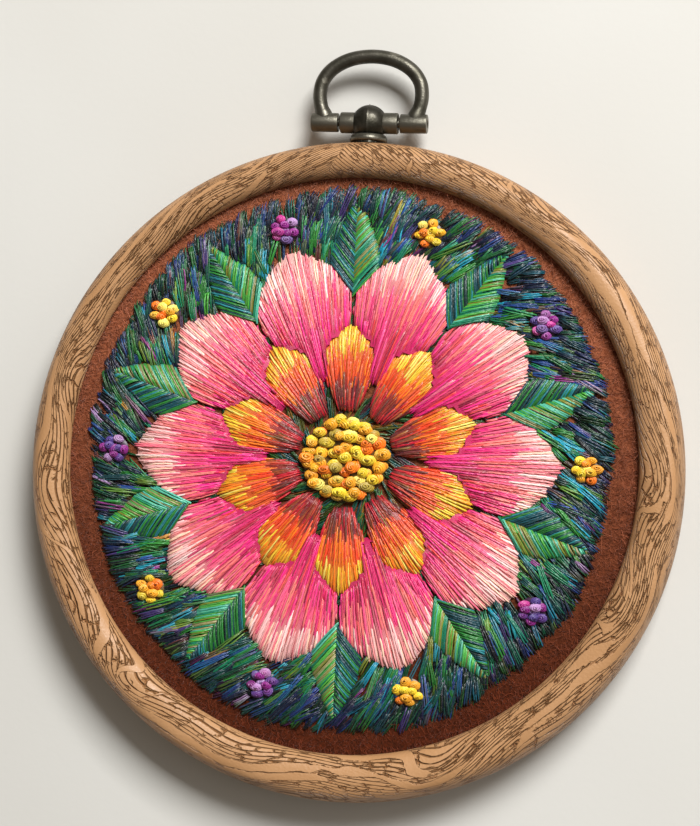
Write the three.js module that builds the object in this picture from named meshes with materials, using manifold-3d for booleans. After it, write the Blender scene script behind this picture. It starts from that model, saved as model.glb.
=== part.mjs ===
// Embroidery shown in a round flexible hoop with a hinged metal bail, in millimetres.
// The hoop lies on its back: +Z leaves its face, +Y points to the bail, and the outer ring's back is at Z 0.
import * as THREE from "three";
import { mergeVertices } from "three/addons/utils/BufferGeometryUtils.js";
import Module from "manifold-3d";

// Driving dimensions

const GAP = 0.3; // air between pieces that touch
const RING_STEPS = 88; // facets round the rings

// Outer ring: a soft vinyl bead with a flat back, a round front and a lip over the cloth
const OUTER_R = 48;
const OUTER_HEIGHT = 10;
const WIDEST_Z = 4.2; // height at which the bead is widest, and where the hanger is fixed
const BACK_R = 46.4; // outer edge of the flat back
const CREST_R = 45; // where the front of the bead is highest
const SEAT_R = 43.6; // wall that grips the cloth
const LIP_R = 41.7; // free edge of the lip
const LIP_SHIFT = { x: -0.2, y: 0.8 }; // the soft lip sits off centre: the ring is rolled a little
const LIP_EDGE = 0.5; // height of the lip's blunt edge

// Felt, stretched over the inner ring and turned down round it
const FELT_T = 1;
const FELT_TOP = 6.9;
const FELT_CORNER = 0.8; // outside radius where the felt turns down
const FELT_TRIM_Z = 0.8; // cut edge of the felt, above the back of the hoop

// Inner ring: a rigid plastic band inside the turned felt
const BAND_T = 2.4;
const BAND_Z = 0.5;
const BAND_CHAMFER = 0.4;

// Hanger: a ball post seated in a cup washer, a pin and a D-shaped bail
const PIVOT_Y = OUTER_R + 3.1;
const BALL_R = 2.7;
const POST_BARREL = { r: 1.55, half: 4.27 };
const NECK = { r: 1.1, depth: 2.9 };
// The washer's outline from its base, where its height is 0; it is hollowed for the ball
const WASHER = [
  { r: 1.45, up: 0 },
  { r: 2.75, up: 0 },
  { r: 2.75, up: 0.45 },
  { r: 2.6, up: 0.8 },
  { r: 2.38, up: 0.97 },
  { r: 2, up: 0.58 },
  { r: 1.45, up: 0.19 },
];
const END_BARREL = { r: 1.4, from: 4.6, to: 8.6, cap: 0.5 };
const BARREL_CHAMFER = 0.15;
const PIN_R = 0.55;
const PIN_BORE_R = 0.85;
const WIRE_R = 1.03;
const WIRE_SIDES = 14;
const WIRE_STEPS = 32;
// Right half of the bail's centre line, from barrel to crown: distance from the middle, height over the pin
const BAIL_LINE = [
  { x: 6.72, up: 0.7 },
  { x: 7.35, up: 2.4 },
  { x: 7.6, up: 4.2 },
  { x: 7.2, up: 6.2 },
  { x: 5.75, up: 8.05 },
  { x: 3.2, up: 9.4 },
];
const CROWN_UP = 9.87;

// Stitched panel: a rosette of two rows of petals, leaves and knots on a ground of short stitches
const REPEATS = 10;
const TURN = (2 * Math.PI) / REPEATS;
const TURN_DEG = 360 / REPEATS;
const PANEL_R = 39.2;
const PANEL_SHIFT = { x: -0.6, y: 1.6 }; // the stitching isn't quite centred in the hoop
const STITCH_Z = FELT_TOP + GAP;
// Half-width of a motif at even steps from its root to its tip, as a share of its widest
const PETAL_SHAPE = [0.3, 0.5, 0.66, 0.8, 0.92, 1, 0.88, 0.58, 0.12];
const LEAF_SHAPE = [0.25, 0.55, 0.84, 0.98, 1, 0.85, 0.62, 0.36, 0.08];
const INNER_PETAL = { root: 7, tip: 19.6, half: 4.25, edge: 0.5, crown: 0.75, vein: 0, shape: PETAL_SHAPE };
const OUTER_PETAL = { root: 11.5, tip: 31.4, half: 7.3, edge: 0.45, crown: 0.7, vein: 0, shape: PETAL_SHAPE };
const LEAF = { root: 22, tip: 37.6, half: 3.7, edge: 0.4, crown: 0.5, vein: 0.3, shape: LEAF_SHAPE };
const CENTRE = { r: 6.5, height: 0.7, rings: [1, 6, 11, 16], pitch: 1.75, knotR: 0.95, sides: 24 };
const CLUSTER = { at: 34.7, r: 2.4, height: 0.5, rings: [1, 6], pitch: 1.55, knotR: 0.85, sides: 16 };
const GROUND = { height: 0.5, lump: 0.18, steps: 80, rows: 3, tooth: 0.5, teeth: 40 };

// Helpers

const wasm = await Module();
wasm.setup();

// A closed three.js geometry as a manifold-3d solid, turned the right way out.
function solid(geometry) {
  const bare = geometry.clone().deleteAttribute("normal").deleteAttribute("uv");
  const merged = mergeVertices(bare, 1e-4);
  const triVerts = new Uint32Array(merged.index.array);
  const vertProperties = merged.attributes.position.array;
  const made = new wasm.Manifold(new wasm.Mesh({ numProp: 3, vertProperties, triVerts }));
  if (made.volume() > 0) return made;
  for (let i = 0; i < triVerts.length; i += 3) {
    [triVerts[i + 1], triVerts[i + 2]] = [triVerts[i + 2], triVerts[i + 1]];
  }
  return new wasm.Manifold(new wasm.Mesh({ numProp: 3, vertProperties, triVerts }));
}

function geometryOf(body) {
  const mesh = body.getMesh();
  const positions = new Float32Array(mesh.numVert * 3);
  for (let i = 0; i < mesh.numVert; i++) {
    positions.set(mesh.vertProperties.subarray(i * mesh.numProp, i * mesh.numProp + 3), i * 3);
  }
  return new THREE.BufferGeometry()
    .setAttribute("position", new THREE.BufferAttribute(positions, 3))
    .setIndex(new THREE.BufferAttribute(mesh.triVerts, 1));
}

// The largest of the pieces that a cut leaves.
function largest(body) {
  return body.decompose().reduce((a, b) => (b.volume() > a.volume() ? b : a));
}

// A closed profile of [radius, height] points turned about Z.
function turned(profile, steps = RING_STEPS) {
  const points = [...profile, profile[0]].map(([r, z]) => new THREE.Vector2(r, z));
  return new THREE.LatheGeometry(points, steps).rotateX(Math.PI / 2);
}

// A rod from a to b along Z with chamfered ends.
function rod(r, a, b, steps, chamfer = 0) {
  const low = chamfer ? [[r - chamfer, a], [r, a + chamfer]] : [[r, a]];
  const high = chamfer ? [[r, b - chamfer], [r - chamfer, b]] : [[r, b]];
  const points = [[0, a], ...low, ...high, [0, b]].map(([x, z]) => new THREE.Vector2(x, z));
  return new THREE.LatheGeometry(points, steps).rotateX(Math.PI / 2);
}

const alongX = (geometry) => geometry.rotateY(Math.PI / 2);
const alongY = (geometry) => geometry.rotateX(-Math.PI / 2);

// Rings and cloth

function outerRing() {
  const under = FELT_TOP + GAP;
  const bead = new THREE.Path()
    .moveTo(BACK_R, 0)
    .quadraticCurveTo(OUTER_R - 0.1, 0.5, OUTER_R, WIDEST_Z)
    .bezierCurveTo(OUTER_R, OUTER_HEIGHT - 2, CREST_R + 2.1, OUTER_HEIGHT, CREST_R, OUTER_HEIGHT)
    .bezierCurveTo(CREST_R - 1.9, OUTER_HEIGHT, LIP_R + 0.2, OUTER_HEIGHT - 1, LIP_R, under + LIP_EDGE);
  const outline = bead.getPoints(4).map((p) => [p.x, p.y]);
  const ring = turned([...outline, [LIP_R, under], [SEAT_R, under], [SEAT_R, 0]]);
  // Moves the lip off centre: most at its free edge, not at all behind the crest or at the seat.
  const at = ring.attributes.position;
  const outermost = CREST_R + 1.5;
  for (let i = 0; i < at.count; i++) {
    const r = Math.hypot(at.getX(i), at.getY(i));
    const isLip = at.getZ(i) > under + 0.01 || r < LIP_R + 0.01;
    const share = isLip ? THREE.MathUtils.smoothstep(outermost - r, 0, outermost - LIP_R) : 0;
    at.setXY(i, at.getX(i) + share * LIP_SHIFT.x, at.getY(i) + share * LIP_SHIFT.y);
  }
  const hole = rod(NECK.r + GAP, OUTER_R - NECK.depth - GAP, OUTER_R + 2, 16);
  return largest(solid(ring).subtract(solid(alongY(hole).translate(0, 0, WIDEST_Z))));
}

function innerRing() {
  const r = SEAT_R - GAP - FELT_T - GAP;
  const top = FELT_TOP - FELT_T - GAP;
  return solid(
    turned([
      [r - BAND_T, BAND_Z],
      [r, BAND_Z],
      [r, top - BAND_CHAMFER],
      [r - BAND_CHAMFER, top],
      [r - BAND_T, top],
    ]),
  );
}

// The felt is a shallow cap: a flat face, a turned corner and a short wall down to its cut edge.
function felt() {
  const out = SEAT_R - GAP;
  const corner = [0, 1, 2, 3].map((step) => {
    const a = (step * Math.PI) / 6;
    return [out - FELT_CORNER * (1 - Math.sin(a)), FELT_TOP - FELT_CORNER * (1 - Math.cos(a))];
  });
  const inner = [[out - FELT_T, FELT_TRIM_Z], [out - FELT_T, FELT_TOP - FELT_T], [0, FELT_TOP - FELT_T]];
  const points = [[0, FELT_TOP], ...corner, [out, FELT_TRIM_Z], ...inner];
  const profile = points.map(([r, z]) => new THREE.Vector2(r, z));
  return solid(new THREE.LatheGeometry(profile, RING_STEPS).rotateX(Math.PI / 2));
}

// Hanger

const pinBore = (from, to) => solid(alongX(rod(PIN_BORE_R, from, to, 16)));

function post() {
  const ball = solid(new THREE.SphereGeometry(BALL_R, 20, 14));
  const barrel = solid(alongX(rod(POST_BARREL.r, -POST_BARREL.half, POST_BARREL.half, 20, BARREL_CHAMFER)));
  const neck = solid(alongY(rod(NECK.r, OUTER_R - NECK.depth - PIVOT_Y, 0, 16)));
  const far = POST_BARREL.half + 1;
  return ball.add(barrel).add(neck).subtract(pinBore(-far, far));
}

function washer() {
  return solid(alongY(turned(WASHER.map(({ r, up }) => [r, up]), 28)));
}

function bail() {
  const right = BAIL_LINE.map(({ x, up }) => new THREE.Vector3(x, up, 0));
  const left = BAIL_LINE.map(({ x, up }) => new THREE.Vector3(-x, up, 0)).reverse();
  const line = new THREE.CatmullRomCurve3([...right, new THREE.Vector3(0, CROWN_UP, 0), ...left]);
  const section = new THREE.Shape().absarc(0, 0, WIRE_R, 0, 2 * Math.PI);
  const path = { steps: WIRE_STEPS, extrudePath: line, curveSegments: WIRE_SIDES / 2 };
  const wire = new THREE.ExtrudeGeometry(section, path);
  const { r, from, to, cap } = END_BARREL;
  let body = solid(wire);
  for (const side of [-1, 1]) {
    const barrel = alongX(rod(r, from, to, 20, BARREL_CHAMFER)).scale(side, 1, 1);
    body = body.add(solid(barrel));
  }
  const reach = to - cap;
  return body.subtract(pinBore(-reach, reach));
}

function pin() {
  const half = END_BARREL.to - END_BARREL.cap - GAP;
  return solid(alongX(rod(PIN_R, -half, half, 12)));
}

// Stitched motifs. Each stands on STITCH_Z, with its root and tip on the +Y axis of its own frame.

// grow widens the outline evenly, and flat makes a tall plain block for cutting a neighbour.
function motif({ root, tip, half, edge, crown, vein, shape }, { grow = 0, flat = false } = {}) {
  const across = flat ? [-1, 1] : [-1, -0.6, 0, 0.6, 1];
  const last = shape.length - 1;
  const top = [];
  const base = [];
  shape.forEach((share, i) => {
    const s = i / last;
    const y = root - grow + s * (tip - root + 2 * grow);
    const w = half * share + grow;
    const arch = Math.sin(Math.PI * Math.min(1, 0.18 + 0.8 * s)) ** 0.6;
    const row = across.map((t) => {
      const rise = edge + crown * arch * (1 - t * t) - (t === 0 ? vein : 0);
      return [t * w, y, flat ? 2 * OUTER_HEIGHT : STITCH_Z + rise];
    });
    top.push(row);
    base.push([row[0], row[row.length - 1]].map(([x, by]) => [x, by, flat ? -OUTER_HEIGHT : STITCH_Z]));
  });
  return solid(closedStrip(top, base));
}

// A closed shell from rows of top points and pairs of base points under each row's ends.
function closedStrip(top, base) {
  const points = [];
  const put = (p) => points.push(...p) / 3 - 1;
  const t = top.map((row) => row.map(put));
  const b = base.map((row) => row.map(put));
  const faces = [];
  const quad = (p, q, r, s) => faces.push(p, q, r, p, r, s);
  const n = t[0].length - 1;
  for (let i = 0; i < t.length - 1; i++) {
    for (let j = 0; j < n; j++) quad(t[i][j], t[i][j + 1], t[i + 1][j + 1], t[i + 1][j]);
    quad(b[i][1], b[i][0], b[i + 1][0], b[i + 1][1]);
    quad(b[i][0], t[i][0], t[i + 1][0], b[i + 1][0]);
    quad(t[i][n], b[i][1], b[i + 1][1], t[i + 1][n]);
  }
  const fan = (p, q, r, turn) => (turn ? faces.push(p, q, r) : faces.push(p, r, q));
  const end = (i, turn) => {
    for (let j = 0; j < n; j++) fan(b[i][0], t[i][j], t[i][j + 1], turn);
    fan(b[i][0], t[i][n], b[i][1], turn);
  };
  end(0, false);
  end(t.length - 1, true);
  return new THREE.BufferGeometry()
    .setAttribute("position", new THREE.Float32BufferAttribute(points, 3))
    .setIndex(faces);
}

// A low round pad with knots standing on it in rings.
function knots({ r, height, rings, pitch, knotR, sides }) {
  let body = solid(rod(r, STITCH_Z, STITCH_Z + height, sides));
  rings.forEach((count, ring) => {
    for (let i = 0; i < count; i++) {
      const a = (2 * Math.PI * (i + 0.5 * (ring % 2))) / count;
      const ball = new THREE.SphereGeometry(knotR, 6, 4).rotateX(Math.PI / 2).scale(1, 1, 0.85);
      const d = ring * pitch;
      body = body.add(solid(ball.translate(d * Math.cos(a), d * Math.sin(a), STITCH_Z + height)));
    }
  });
  return body.intersect(solid(rod(2 * r, STITCH_Z, 2 * OUTER_HEIGHT, 24)));
}

// The ground: a thin lumpy disc with a toothed edge.
function groundDisc() {
  const { height, lump, steps, rows, tooth, teeth } = GROUND;
  const points = [0, 0, STITCH_Z + height, 0, 0, STITCH_Z];
  const faces = [];
  const at = (i, row) => 2 + (i % steps) * (rows + 1) + row;
  for (let i = 0; i < steps; i++) {
    const a = (2 * Math.PI * i) / steps;
    const edge = PANEL_R - tooth * (0.5 + 0.5 * Math.cos(teeth * a));
    for (let row = 1; row <= rows; row++) {
      const d = (edge * row) / rows;
      const rise = lump * Math.sin(7 * a + 2.3 * row) * Math.cos(13 * a - row);
      const drop = row === rows ? height / 2 : 0;
      points.push(d * Math.cos(a), d * Math.sin(a), STITCH_Z + height + rise - drop);
    }
    points.push(edge * Math.cos(a), edge * Math.sin(a), STITCH_Z);
    faces.push(0, at(i, 0), at(i + 1, 0), 1, at(i + 1, rows), at(i, rows));
    for (let row = 0; row < rows; row++) {
      const [p, q, r, s] = [at(i, row), at(i, row + 1), at(i + 1, row + 1), at(i + 1, row)];
      faces.push(p, q, r, p, r, s);
    }
  }
  const geometry = new THREE.BufferGeometry()
    .setAttribute("position", new THREE.Float32BufferAttribute(points, 3))
    .setIndex(faces);
  return solid(geometry);
}

// Assembly

function material(color, roughness, metalness = 0) {
  return new THREE.MeshStandardMaterial({ color, roughness, metalness });
}
const MATERIALS = {
  vinyl: material(0xc49a70, 0.55),
  plastic: material(0xb08a62, 0.5),
  felt: material(0x6e3418, 0.95),
  bronze: material(0x5a5240, 0.4, 0.9),
  yellow: material(0xe6a928, 0.6),
  orange: material(0xe2602a, 0.6),
  pink: material(0xe85c8a, 0.55),
  green: material(0x2f8a4a, 0.6),
  purple: material(0x8a2f86, 0.6),
  blue: material(0x1d3f6a, 0.6),
};

const part = new THREE.Group();

// A named mesh in a group of the part.
function place(parent, name, body, finish) {
  const mesh = new THREE.Mesh(geometryOf(body), MATERIALS[finish]);
  mesh.name = name;
  parent.add(mesh);
}

// The bounding box is centred on the frame's Y axis, so the hoop sits below it by half of what the bail adds.
const hoop = new THREE.Group();
hoop.position.y = -(PIVOT_Y + CROWN_UP + WIRE_R - OUTER_R) / 2;
part.add(hoop);
place(hoop, "outer_hoop", outerRing(), "vinyl");
place(hoop, "inner_hoop", innerRing(), "plastic");
place(hoop, "felt_ground", felt(), "felt");

const washerGroup = new THREE.Group();
washerGroup.position.set(0, OUTER_R + GAP, WIDEST_Z);
hoop.add(washerGroup);
place(washerGroup, "hanger_washer", washer(), "bronze");

const hanger = new THREE.Group();
hanger.position.set(0, PIVOT_Y, WIDEST_Z);
hoop.add(hanger);
place(hanger, "hanger_post", post(), "bronze");
place(hanger, "hinge_pin", pin(), "bronze");
place(hanger, "bail", bail(), "bronze");

const panel = new THREE.Group();
panel.position.set(PANEL_SHIFT.x, PANEL_SHIFT.y, 0);
hoop.add(panel);

// All copies of a motif turned round the panel, as one cutting block.
function cutters(shape, offset) {
  const block = motif(shape, { grow: GAP, flat: true });
  const copies = Array.from({ length: REPEATS }, (_, i) => block.rotate(0, 0, (i + offset) * TURN_DEG));
  return copies.reduce((a, b) => a.add(b));
}

// The two rows are half a step apart: inner petals and leaves on the step, outer petals and clusters between.
const ON_STEP = 0;
const BETWEEN = 0.5;
const disc = (r, at = 0) => solid(rod(r, -OUTER_HEIGHT, 2 * OUTER_HEIGHT, 24).translate(0, at, 0));
const centreCut = disc(CENTRE.r + GAP);
const innerCut = cutters(INNER_PETAL, ON_STEP);
const outerCut = cutters(OUTER_PETAL, BETWEEN);
const leafCut = cutters(LEAF, ON_STEP);
const innerPetal = largest(motif(INNER_PETAL).subtract(centreCut));
const shiftedInnerCut = innerCut.rotate(0, 0, TURN_DEG / 2);
const outerPetal = largest(motif(OUTER_PETAL).subtract(shiftedInnerCut).subtract(centreCut));
const leaf = largest(motif(LEAF).subtract(outerCut).subtract(innerCut));
const cluster = knots(CLUSTER).translate(0, CLUSTER.at, 0);
const clusterBlock = disc(CLUSTER.r + GAP, CLUSTER.at);

const rows = [
  { name: "inner_petal", body: innerPetal, offset: ON_STEP, finish: "orange" },
  { name: "outer_petal", body: outerPetal, offset: BETWEEN, finish: "pink" },
  { name: "leaf", body: leaf, offset: ON_STEP, finish: "green" },
  { name: "knot_cluster", body: cluster, offset: BETWEEN, finish: "purple" },
];
let ground = groundDisc().subtract(centreCut).subtract(innerCut).subtract(outerCut).subtract(leafCut);
for (let i = 0; i < REPEATS; i++) {
  ground = ground.subtract(clusterBlock.rotate(0, 0, (i + BETWEEN) * TURN_DEG));
  for (const { name, body, offset, finish } of rows) {
    const turnedGroup = new THREE.Group();
    turnedGroup.rotation.z = (i + offset) * TURN;
    panel.add(turnedGroup);
    place(turnedGroup, `${name}_${String(i).padStart(2, "0")}`, body, finish);
  }
}
place(panel, "stitched_ground", largest(ground), "blue");
place(panel, "centre_knots", knots(CENTRE), "yellow");

export default part;
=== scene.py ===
import math

import bpy
import numpy as np
from mathutils import Matrix, Vector


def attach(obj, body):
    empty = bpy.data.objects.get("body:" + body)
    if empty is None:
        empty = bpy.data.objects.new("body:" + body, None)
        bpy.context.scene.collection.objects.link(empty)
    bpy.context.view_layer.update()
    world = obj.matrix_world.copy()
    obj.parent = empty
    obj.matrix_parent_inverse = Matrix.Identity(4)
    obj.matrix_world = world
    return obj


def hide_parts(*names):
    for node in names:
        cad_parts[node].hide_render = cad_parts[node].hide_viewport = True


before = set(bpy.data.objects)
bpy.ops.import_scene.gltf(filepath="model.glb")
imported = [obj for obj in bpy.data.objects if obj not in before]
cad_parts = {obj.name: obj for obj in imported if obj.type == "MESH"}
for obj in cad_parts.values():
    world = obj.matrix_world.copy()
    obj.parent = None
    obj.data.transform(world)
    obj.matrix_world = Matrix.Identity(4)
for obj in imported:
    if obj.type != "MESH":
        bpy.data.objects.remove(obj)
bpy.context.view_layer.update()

# Sizes in millimetres, on the frame's axes. The hoop's centre is CENTRE, and MM is a millimetre in metres.
MM = 0.001
CENTRE = np.array([0.0, -7.0])
OUTER_R, HEIGHT, WIDEST_Z = 48.0, 10.0, 4.2
BACK_R, CREST_R, SEAT_R, LIP_R = 46.4, 45.0, 43.6, 41.7
LIP_SHIFT = np.array([-0.2, 0.8])
GAP, FELT_T, FELT_TOP, FELT_TRIM_Z = 0.3, 1.0, 6.9, 0.8
STITCH_Z = FELT_TOP + GAP
PANEL = CENTRE + np.array([-0.6, 1.6])
PANEL_R = 39.2
REPEATS = 10
TURN = 2 * math.pi / REPEATS
PIVOT = np.array([0.0, CENTRE[1] + OUTER_R + 3.1, WIDEST_Z])
PETAL_SHAPE = [0.3, 0.5, 0.66, 0.8, 0.92, 1, 0.88, 0.58, 0.12]
LEAF_SHAPE = [0.25, 0.55, 0.84, 0.98, 1, 0.85, 0.62, 0.36, 0.08]
INNER = dict(root=7, tip=19.6, half=4.25, edge=0.5, crown=0.75, vein=0.0, shape=PETAL_SHAPE)
OUTER = dict(root=11.5, tip=31.4, half=7.3, edge=0.45, crown=0.7, vein=0.0, shape=PETAL_SHAPE)
LEAF = dict(root=22, tip=37.6, half=3.7, edge=0.4, crown=0.5, vein=0.3, shape=LEAF_SHAPE)
CENTRE_R, CLUSTER_AT, CLUSTER_R = 6.5, 34.7, 2.4

rng = np.random.default_rng(7)


# Mesh helpers

def linear(code):
    """A hex colour as linear numbers."""
    c = np.array([int(code[i:i + 2], 16) for i in (0, 2, 4)]) / 255
    return np.where(c <= 0.04045, c / 12.92, ((c + 0.055) / 1.055) ** 2.4)


def new_object(name, data):
    obj = bpy.data.objects.new(name, data)
    bpy.context.scene.collection.objects.link(obj)
    return obj


def piece(name, points, quads, material, slot, body="hoop", replaces=(), tris=None, **layers):
    """An object from points in millimetres and arrays of faces. layers are point attributes: one number or a
    colour each."""
    points = np.asarray(points, float)
    quads = np.asarray(quads, int).reshape(-1, 4)
    tris = np.zeros((0, 3), int) if tris is None else np.asarray(tris, int).reshape(-1, 3)
    mesh = bpy.data.meshes.new(name)
    mesh.vertices.add(len(points))
    mesh.vertices.foreach_set("co", (points * MM).ravel())
    corners = np.concatenate([quads.ravel(), tris.ravel()])
    mesh.loops.add(len(corners))
    mesh.loops.foreach_set("vertex_index", corners)
    mesh.polygons.add(len(quads) + len(tris))
    starts = np.concatenate([np.arange(len(quads)) * 4, len(quads) * 4 + np.arange(len(tris)) * 3])
    mesh.polygons.foreach_set("loop_start", starts)
    mesh.update(calc_edges=True)
    mesh.polygons.foreach_set("use_smooth", np.ones(len(mesh.polygons), bool))
    for key, data in layers.items():
        data = np.asarray(data, float)
        if data.ndim == 1:
            mesh.attributes.new(key, "FLOAT", "POINT").data.foreach_set("value", data)
        else:
            rgba = np.ones((len(data), 4))
            rgba[:, :3] = data
            mesh.attributes.new(key, "FLOAT_COLOR", "POINT").data.foreach_set("color", rgba.ravel())
    mesh.validate()
    mesh.materials.append(material)
    obj = new_object(name, mesh)
    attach(obj, body)
    if replaces:
        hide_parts(*replaces)
    return obj


def grid_faces(rows, columns, close_rows=False, close_columns=False):
    """Quads of a grid of points stored row by row."""
    i = np.arange(rows if close_rows else rows - 1)
    j = np.arange(columns if close_columns else columns - 1)
    i, j = (a.ravel() for a in np.meshgrid(i, j, indexing="ij"))
    i2, j2 = (i + 1) % rows, (j + 1) % columns
    return np.stack([i * columns + j, i2 * columns + j, i2 * columns + j2, i * columns + j2], 1)


def turned(profile, steps, along="Z", at=(0, 0, 0)):
    """Points and faces of a closed profile of (radius, height) turned about an axis."""
    profile = np.asarray(profile, float)
    a = np.arange(steps) * 2 * math.pi / steps
    r, z = profile[:, 0], profile[:, 1]
    x = np.outer(np.cos(a), r)
    y = np.outer(np.sin(a), r)
    h = np.outer(np.ones(steps), z)
    order = {"Z": (x, y, h), "X": (h, x, y), "Y": (y, h, x)}[along]
    points = np.stack(order, -1).reshape(-1, 3) + np.asarray(at)
    return points, grid_faces(steps, len(profile), close_rows=True, close_columns=True)


def unit(vectors, least=0.0):
    """Vectors divided by their length, to which least is added."""
    return vectors / (np.linalg.norm(vectors, axis=-1, keepdims=True) + least)


def tubes(paths, radii, sides, flat=1.0):
    """Points and faces of open tubes. paths is (tubes, steps, 3), radii is (tubes, steps) and flat is height
    over width."""
    n, k, _ = paths.shape
    tangent = unit(np.gradient(paths, axis=1), 1e-12)
    side = unit(np.cross(tangent, [0.0, 0.0, 1.0]), 1e-9)
    rise = np.cross(side, tangent)
    a = np.arange(sides) * 2 * math.pi / sides + math.pi / sides
    c, s = np.cos(a)[:, None], np.sin(a)[:, None]
    ring = c * side[:, :, None] + flat * s * rise[:, :, None]
    points = paths[:, :, None] + radii[:, :, None, None] * ring
    faces = grid_faces(k, sides, close_columns=True)
    faces = faces[None] + (np.arange(n) * k * sides)[:, None, None]
    return points.reshape(-1, 3), faces.reshape(-1, 4)


def merged(parts):
    """Joins (points, faces) pairs."""
    points, faces, n = [], [], 0
    for p, f in parts:
        points.append(p)
        faces.append(f + n)
        n += len(p)
    return np.concatenate(points), np.concatenate(faces)


# Node helpers

class Nodes:
    """Builds one material's node tree."""

    def __init__(self, name):
        self.material = bpy.data.materials.new(name)
        self.material.use_nodes = True
        self.tree = self.material.node_tree
        self.shader = self.tree.nodes["Principled BSDF"]

    def add(self, kind, inputs=None, **settings):
        node = self.tree.nodes.new(kind)
        for key, value in settings.items():
            setattr(node, key, value)
        for key, value in (inputs or {}).items():
            self.put(node.inputs[key], value)
        return node

    def put(self, socket, value):
        if isinstance(value, bpy.types.NodeSocket):
            self.tree.links.new(value, socket)
        elif isinstance(value, bpy.types.Node):
            self.tree.links.new(value.outputs[0], socket)
        else:
            socket.default_value = value

    def set(self, **values):
        names = {"color": "Base Color", "rough": "Roughness", "metal": "Metallic", "normal": "Normal",
                 "specular": "Specular IOR Level", "sheen": "Sheen Weight", "sheen_rough": "Sheen Roughness",
                 "sheen_tint": "Sheen Tint"}
        for key, value in values.items():
            self.put(self.shader.inputs[names[key]], value)
        return self.material

    def math(self, operation, a, b=0.0):
        return self.add("ShaderNodeMath", {0: a, 1: b}, operation=operation)

    def times(self, a, b):
        return self.math("MULTIPLY", a, b)

    def plus(self, a, b):
        return self.math("ADD", a, b)

    def less(self, a, b):
        return self.math("SUBTRACT", a, b)

    def noise(self, vector, scale, detail, rough, distortion=0.0):
        return self.add("ShaderNodeTexNoise", {"Vector": vector, "Scale": scale, "Detail": detail,
                                              "Roughness": rough, "Distortion": distortion})

    def range(self, value, a, b, c=0.0, d=1.0, smooth=True):
        inputs = {"Value": value, "From Min": a, "From Max": b, "To Min": c, "To Max": d}
        return self.add("ShaderNodeMapRange", inputs, interpolation_type="SMOOTHSTEP" if smooth else "LINEAR")

    def mix(self, factor, a, b, blend="MIX"):
        node = self.add("ShaderNodeMix", data_type="RGBA", blend_type=blend)
        self.put(node.inputs["Factor"], factor)
        for key, value in ((6, a), (7, b)):
            if isinstance(value, str):
                value = tuple(linear(value))
            if isinstance(value, tuple):
                value += (1.0,)
            self.put(node.inputs[key], value)
        return node.outputs[2]

    def attribute(self, name, output="Fac"):
        return self.add("ShaderNodeAttribute", attribute_name=name).outputs[output]

    def vector(self, x, y, z=0.0):
        return self.add("ShaderNodeCombineXYZ", {0: x, 1: y, 2: z}).outputs[0]

    def bump(self, height, distance, strength=1.0):
        inputs = {"Height": height, "Distance": distance, "Strength": strength}
        return self.add("ShaderNodeBump", inputs).outputs[0]

    def position(self):
        return self.add("ShaderNodeTexCoord").outputs["Object"]


# Materials

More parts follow.
